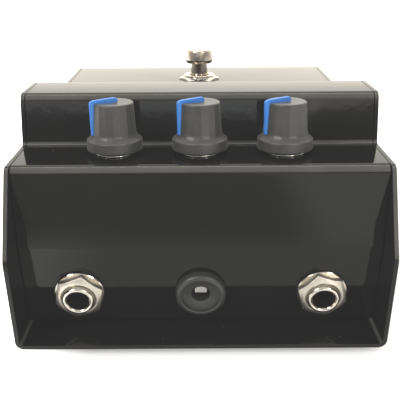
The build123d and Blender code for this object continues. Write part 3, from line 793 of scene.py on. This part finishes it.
def make_socket():
    """The power socket's round housing with a dished mouth, its centre pin and its blade."""
    panel = on_panel("jack_washer_left", JACK_WASHER_THICKNESS)
    panel.translation.x = 0
    section = rounded(
        [
            (SOCKET_MOUTH, SOCKET_DEPTH),
            (SOCKET_MOUTH, 0.2),
            (SOCKET_MOUTH + 0.3, 0.42),
            (SOCKET_FLANGE - 0.4, SOCKET_FACE - 0.12),
            (SOCKET_FLANGE - 0.25, SOCKET_FACE),
            (SOCKET_FLANGE, SOCKET_FACE),
            (SOCKET_FLANGE, 0),
            (SOCKET_BODY, 0),
            (SOCKET_BODY, SOCKET_BACK),
            (0.9, SOCKET_BACK),
        ],
        [0.0, 0.05, 0.0, 0.05, 0.12, 0.1, 0.0, 0.2],
        4,
    )
    section.append((0.9, SOCKET_DEPTH))
    housing = lathe("power_socket", section, panel, 128, True, 30.0)
    pin = [
        (0, CONTACT_BACK),
        (PIN_RADIUS - 0.15, CONTACT_BACK),
        (PIN_RADIUS, CONTACT_BACK + 0.2),
        (PIN_RADIUS, PIN_TIP - 0.15),
        (PIN_RADIUS - 0.15, PIN_TIP),
        (0, PIN_TIP),
    ]
    dress(lathe("socket_pin", pin, panel, 64, False, 30.0), "case", "dc_socket_pin")
    make_socket_leaf(panel)
    dress(housing, "case", "dc_socket_housing")


make_socket()

# ------------------------------------------------------------------ footswitch

SWITCH_WASHER_THICKNESS = 0.6
SWITCH_WASHER_RADIUS = 7.4
SWITCH_NUT_FLATS = 14.0
SWITCH_NUT_TOP = 2.1
SWITCH_SLEEVE_TOP = 3.1
SWITCH_CAP_LEVEL = -10.95
SWITCH_STEM_RADIUS = 3.9
BUTTON_RADIUS = 4.65
BUTTON_HEIGHT = 4.25
CAD_BUTTON_HEIGHT = 4.8


def make_switch_fixing(place):
    """What holds the switch: washer, nut, threaded sleeve, and the plate under the case's top."""
    section = washer_profile(6.0, SWITCH_WASHER_RADIUS, SWITCH_WASHER_THICKNESS, 0.15)
    dress(lathe("switch_washer", section, place, 128, True), "case", "footswitch_washer")
    low, high = SWITCH_WASHER_THICKNESS, SWITCH_NUT_TOP
    nut = hex_nut("switch_nut", place, SWITCH_NUT_FLATS, 5.97, low, high, 0.0, 6.6)
    dress(nut, "case", "footswitch_nut")
    sleeve = threaded("switch_bushing", place, 5.95, 3.98, -11.7, SWITCH_SLEEVE_TOP, 0.4, 1.0)
    dress(sleeve, "case", "footswitch_bushing")
    bm = bmesh.new()
    square_frame(bm, place, 17.5, 4.6, 8.3, SWITCH_CAP_LEVEL)
    cap = soften(finish_mesh(bm, "switch_cap_plate"), 0.15, 2)
    dress(cap, "case", "footswitch_bushing")


def make_button(place):
    """The button with a rounded top on its stem, which runs down into the sleeve."""
    ground = low_z("footswitch_washer")
    under = (high_z("footswitch_plunger") - ground) / MM - CAD_BUTTON_HEIGHT
    stem_foot = (low_z("footswitch_plunger") - ground) / MM
    top = under + BUTTON_HEIGHT
    section = rounded(
        [
            (0, stem_foot),
            (SWITCH_STEM_RADIUS, stem_foot),
            (SWITCH_STEM_RADIUS, under),
            (SWITCH_STEM_RADIUS + 0.3, under),
            (BUTTON_RADIUS, under + 0.5),
            (BUTTON_RADIUS, top),
            (0, top),
        ],
        [0.3, 0.1, 0.1, 0.2, 0.8],
        8,
    )
    plunger = lathe("switch_plunger", section, place, 96, False, 30.0)
    settle(plunger, "footswitch", WORN, "bright_nickel", "footswitch_plunger")


switch_spot = centre("footswitch_washer")
switch_place = Matrix.Translation((switch_spot.x, switch_spot.y, low_z("footswitch_washer")))
make_switch_fixing(switch_place)
make_button(switch_place)

# ------------------------------------------------------------------ floor, light and camera


# The floor is pale but not plain. In front of the jack side it turns grey, a painted shade, with a paler
# patch on one side of that zone, a painted pool of light, and it has a weak light of its own, a painted
# glow. These shape what the gloss paint mirrors.
FLOOR_SIZE = 3.0
PAINTED_SHADE_ZONE = [(0.095, 0.0), (0.135, 1.0)]
PAINTED_LIGHT_POOL = [(0.03, 0.0), (0.055, 1.0)]
PATCH_SHARE = 0.75
NEAR_GLOW = [(0.03, 0.32), (0.06, 1.6)]


def make_floor():
    """A large flat floor with the painted shade, painted pool of light and painted glow described above."""
    bm = bmesh.new()
    bmesh.ops.create_grid(bm, x_segments=24, y_segments=24, size=FLOOR_SIZE)
    floor = finish_mesh(bm, "floor")
    paint = Paint("floor_white")
    grain = paint.noise(60.0, 3.0)
    # Painted shade: the floor turns grey from about 95 mm in front of the jack side.
    zone = paint.ramp(paint.math("MULTIPLY", paint.axis(1), -1.0), PAINTED_SHADE_ZONE, True)
    # Painted pool of light: a paler patch on the positive X side of the grey zone.
    patch = paint.ramp(paint.axis(0), PAINTED_LIGHT_POOL, True)
    outside_patch = paint.math("SUBTRACT", 1.0, paint.math("MULTIPLY", patch, PATCH_SHARE))
    shade = paint.math("MULTIPLY", zone, outside_patch)
    pale = paint.mix(grain, (0.72, 0.72, 0.715), (0.75, 0.75, 0.745))
    paint.set(Base_Color=paint.mix(shade, pale, (0.33, 0.33, 0.33)), Roughness=0.9)
    # Painted glow: the floor gives off light outside the grey zone, most towards negative X, and inside the
    # pale patch.
    glow = paint.ramp(paint.math("MULTIPLY", paint.axis(0), -1.0), NEAR_GLOW, True)
    near_case = paint.math("MULTIPLY", glow, paint.math("SUBTRACT", 1.0, zone))
    in_patch = paint.math("MULTIPLY", patch, zone)
    paint.set(Emission_Color=(1.0, 1.0, 0.99, 1.0), Emission_Strength=paint.math("ADD", near_case, in_patch))
    floor.data.materials.append(paint.material)


def area_light(name, place, aim, size, power, colour):
    """A soft rectangular light with its size in metres and its power in watts."""
    data = bpy.data.lights.new(name, "AREA")
    data.shape = "RECTANGLE"
    data.size, data.size_y = size
    data.energy = power
    data.color = colour
    lamp = bpy.data.objects.new(name, data)
    bpy.context.scene.collection.objects.link(lamp)
    lamp.location = place
    lamp.rotation_mode = "QUATERNION"
    lamp.rotation_quaternion = (Vector(aim) - Vector(place)).to_track_quat("-Z", "Y")


def make_world():
    """A soft surround: a bright cream far side, a pale ceiling and a dim side behind the camera."""
    world = bpy.data.worlds.new("surround")
    bpy.context.scene.world = world
    world.use_nodes = True
    nodes, links = world.node_tree.nodes, world.node_tree.links
    coords = nodes.new("ShaderNodeTexCoord")
    split = nodes.new("ShaderNodeSeparateXYZ")
    links.new(coords.outputs["Generated"], split.inputs[0])

    def ramp(source, stops):
        """Colours along one direction of the surround, which runs from -1 to 1."""
        span = nodes.new("ShaderNodeMapRange")
        span.inputs["From Min"].default_value = -1.0
        links.new(source, span.inputs["Value"])
        made = nodes.new("ShaderNodeValToRGB")
        made.color_ramp.interpolation = "EASE"
        elements = made.color_ramp.elements
        while len(elements) < len(stops):
            elements.new(0.5)
        for element, (place, colour) in zip(elements, stops):
            element.position = place
            element.color = (*colour, 1.0)
        links.new(span.outputs["Result"], made.inputs["Fac"])
        return made.outputs["Color"]

    far_side = [
        (0.0, (0.11, 0.105, 0.1)),
        (0.45, (0.22, 0.21, 0.2)),
        (0.75, (0.8, 0.76, 0.68)),
        (0.92, (1.2, 1.13, 1.0)),
        (1.0, (1.3, 1.22, 1.06)),
    ]
    depth = ramp(split.outputs[1], far_side)
    height = ramp(split.outputs[2], [(0.5, (0.0, 0.0, 0.0)), (0.85, (0.35, 0.35, 0.35))])
    add = nodes.new("ShaderNodeMix")
    add.data_type = "RGBA"
    add.blend_type = "ADD"
    add.inputs[0].default_value = 1.0
    links.new(depth, add.inputs[6])
    links.new(height, add.inputs[7])
    back = nodes["Background"]
    links.new(add.outputs[2], back.inputs["Color"])
    back.inputs["Strength"].default_value = 1.5


CAMERA_SPOT = Vector((-0.00028, -0.24162, 0.1118))
CAMERA_YAW = math.radians(0.0615)
CAMERA_PITCH = math.radians(-20.25)
CAMERA_ROLL = math.radians(-0.3264)
CAMERA_LENS = 63.0
CASE_MIDDLE = (0, 0, 0.03)
BLACK_LEVEL = (-0.0215, -0.022, -0.0215)


def make_camera():
    yaw, pitch, roll = CAMERA_YAW, CAMERA_PITCH, CAMERA_ROLL
    forward = Vector((math.sin(yaw) * math.cos(pitch), math.cos(yaw) * math.cos(pitch), math.sin(pitch)))
    side = forward.cross(Vector((0, 0, 1))).normalized()
    up = side.cross(forward)
    right = side * math.cos(roll) + up * math.sin(roll)
    data = bpy.data.cameras.new("camera")
    data.lens = CAMERA_LENS
    data.sensor_width = 36.0
    data.clip_start = 0.01
    camera = bpy.data.objects.new("camera", data)
    bpy.context.scene.collection.objects.link(camera)
    place = Matrix((right, right.cross(forward), -forward)).transposed().to_4x4()
    place.translation = CAMERA_SPOT
    camera.matrix_world = place
    bpy.context.scene.camera = camera


make_floor()
make_world()
area_light("window_left", (-0.75, -0.75, 0.75), CASE_MIDDLE, (0.35, 0.45), 11.0, (1.0, 0.98, 0.95))
area_light("window_right", (0.7, -0.95, 0.6), CASE_MIDDLE, (0.25, 0.35), 5.0, (1.0, 0.96, 0.88))
area_light("ceiling", (0, 0.1, 1.4), (0, 0, 0), (1.1, 0.12), 6.0, (1.0, 0.96, 0.88))
area_light("low_right", (0.55, -1.7, 0.47), CASE_MIDDLE, (0.5, 0.16), 0.9, (1.0, 0.88, 0.72))
area_light("low_strip", (-0.3, -1.75, 0.42), CASE_MIDDLE, (1.3, 0.07), 0.9, (0.95, 0.97, 1.0))
area_light("patch", (0.65, -1.9, 0.86), CASE_MIDDLE, (0.7, 0.32), 1.6, (0.9, 0.95, 1.0))
make_camera()

# The picture's blacks are lifted a little. This changes the rendered picture, and no material.
view = bpy.context.scene.view_settings
view.view_transform = "Standard"
view.use_curve_mapping = True
view.curve_mapping.black_level = BLACK_LEVEL
view.curve_mapping.update()

bpy.context.view_layer.update()
